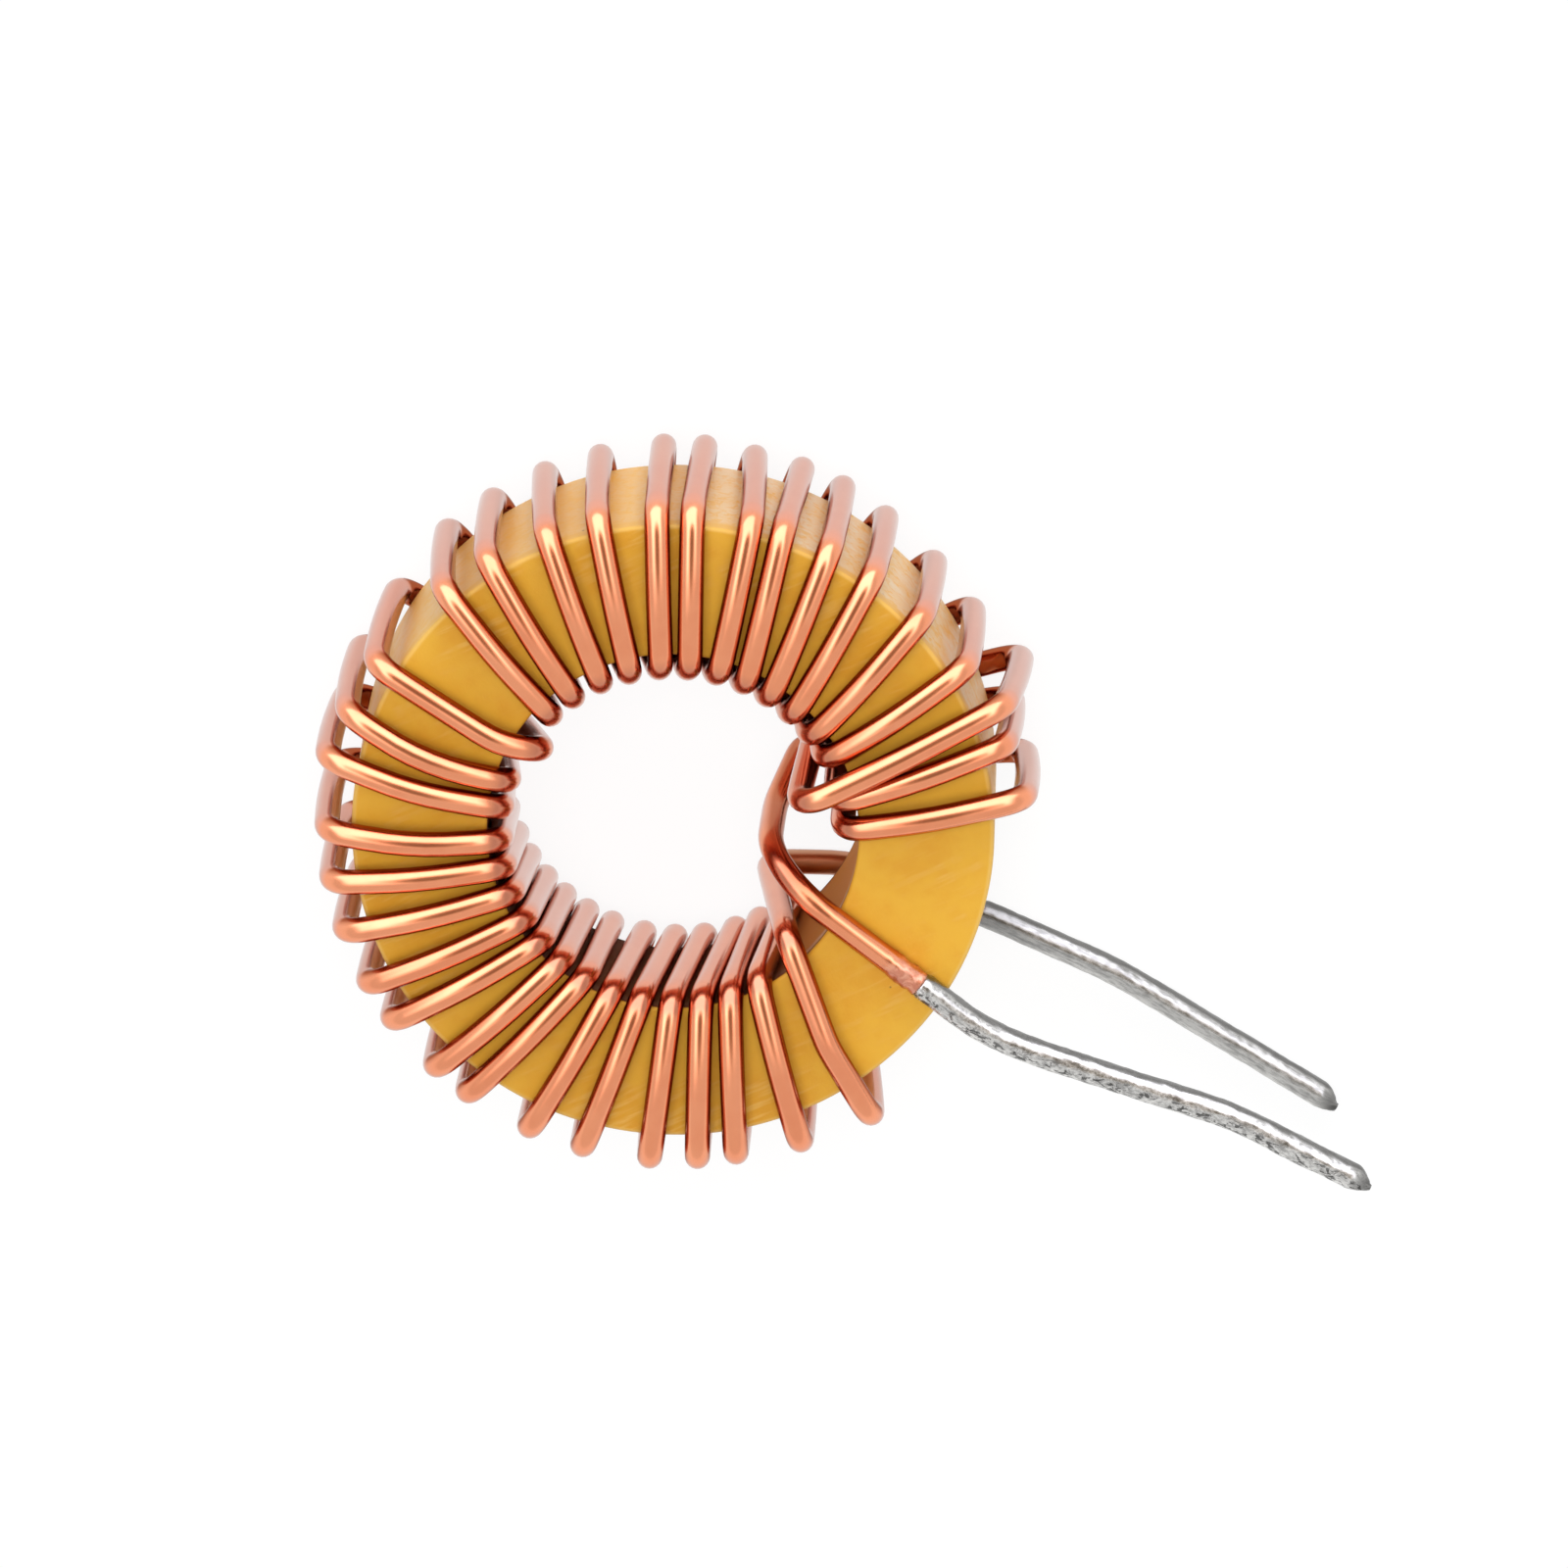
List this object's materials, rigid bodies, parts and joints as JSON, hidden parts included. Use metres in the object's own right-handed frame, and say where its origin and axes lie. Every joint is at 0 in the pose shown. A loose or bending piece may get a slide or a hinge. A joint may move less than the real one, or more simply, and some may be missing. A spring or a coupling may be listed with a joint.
{
  "type": "toroidal inductor",
  "caption": "Toroidal inductor: enamelled copper wire wound by hand through a painted powder ring core, its ends stripped, tinned and led out side by side.",
  "frame": {"origin": "on the core's axis, at the plane that the winding lies on", "axes": "+Z along the core's axis, from its back face to its front face; +X out along the leads, through the middle of the bare stretch of the core"},
  "size_m": [0.0428, 0.0265, 0.0107],
  "materials": {
    "core_paint": "satin yellow paint, white on the back, over pressed iron powder",
    "enamelled_copper": "glossy clear enamel over copper",
    "tin": "dipped tin, slightly lumpy"
  },
  "bodies": {
    "root": {"core": "core_paint", "winding": "enamelled_copper", "front_tinning": "tin", "rear_tinning": "tin"}
  },
  "joints": []
}
